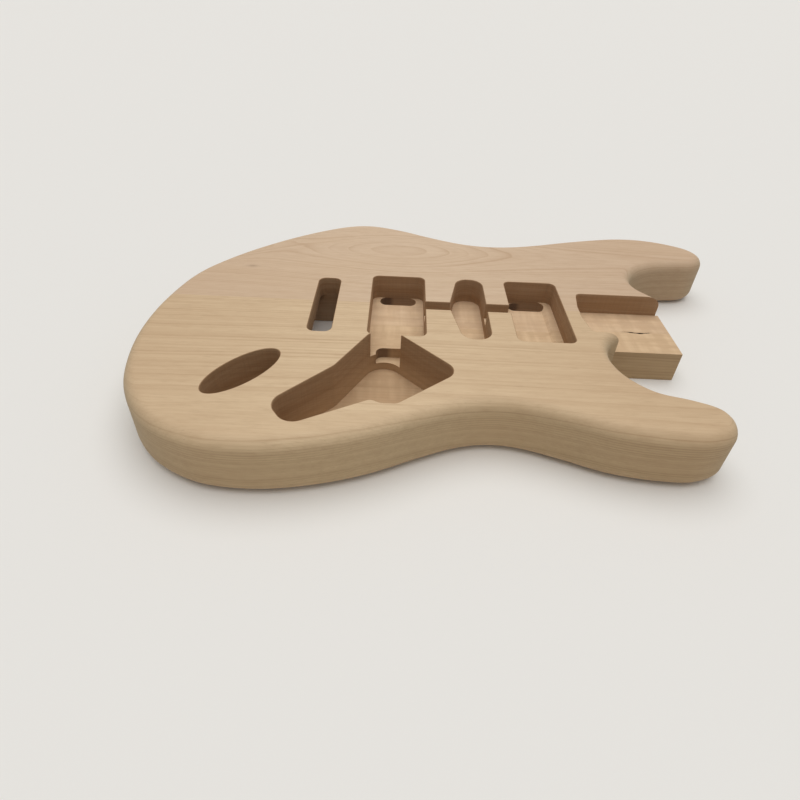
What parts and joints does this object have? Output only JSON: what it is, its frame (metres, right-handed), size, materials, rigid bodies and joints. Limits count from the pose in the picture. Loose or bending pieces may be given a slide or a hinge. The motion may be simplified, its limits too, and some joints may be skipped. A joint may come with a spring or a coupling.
{
  "type": "electric guitar body",
  "caption": "Bare wooden double-cutaway electric guitar body glued up from boards, with neck pocket, pickup, control, jack and vibrato cavities routed in it.",
  "frame": {"origin": "on the flat back face, on the centreline, under the middle of the heel block", "axes": "+X along the centreline towards the neck, +Y across to the bass side, +Z out of the top face"},
  "size_m": [0.488, 0.3177, 0.0445],
  "materials": {
    "bass_board_wood": "sanded bare wood",
    "treble_board_wood": "sanded bare wood"
  },
  "bodies": {
    "root": {"bass_side_board": "bass_board_wood", "treble_side_board": "treble_board_wood"}
  },
  "joints": []
}
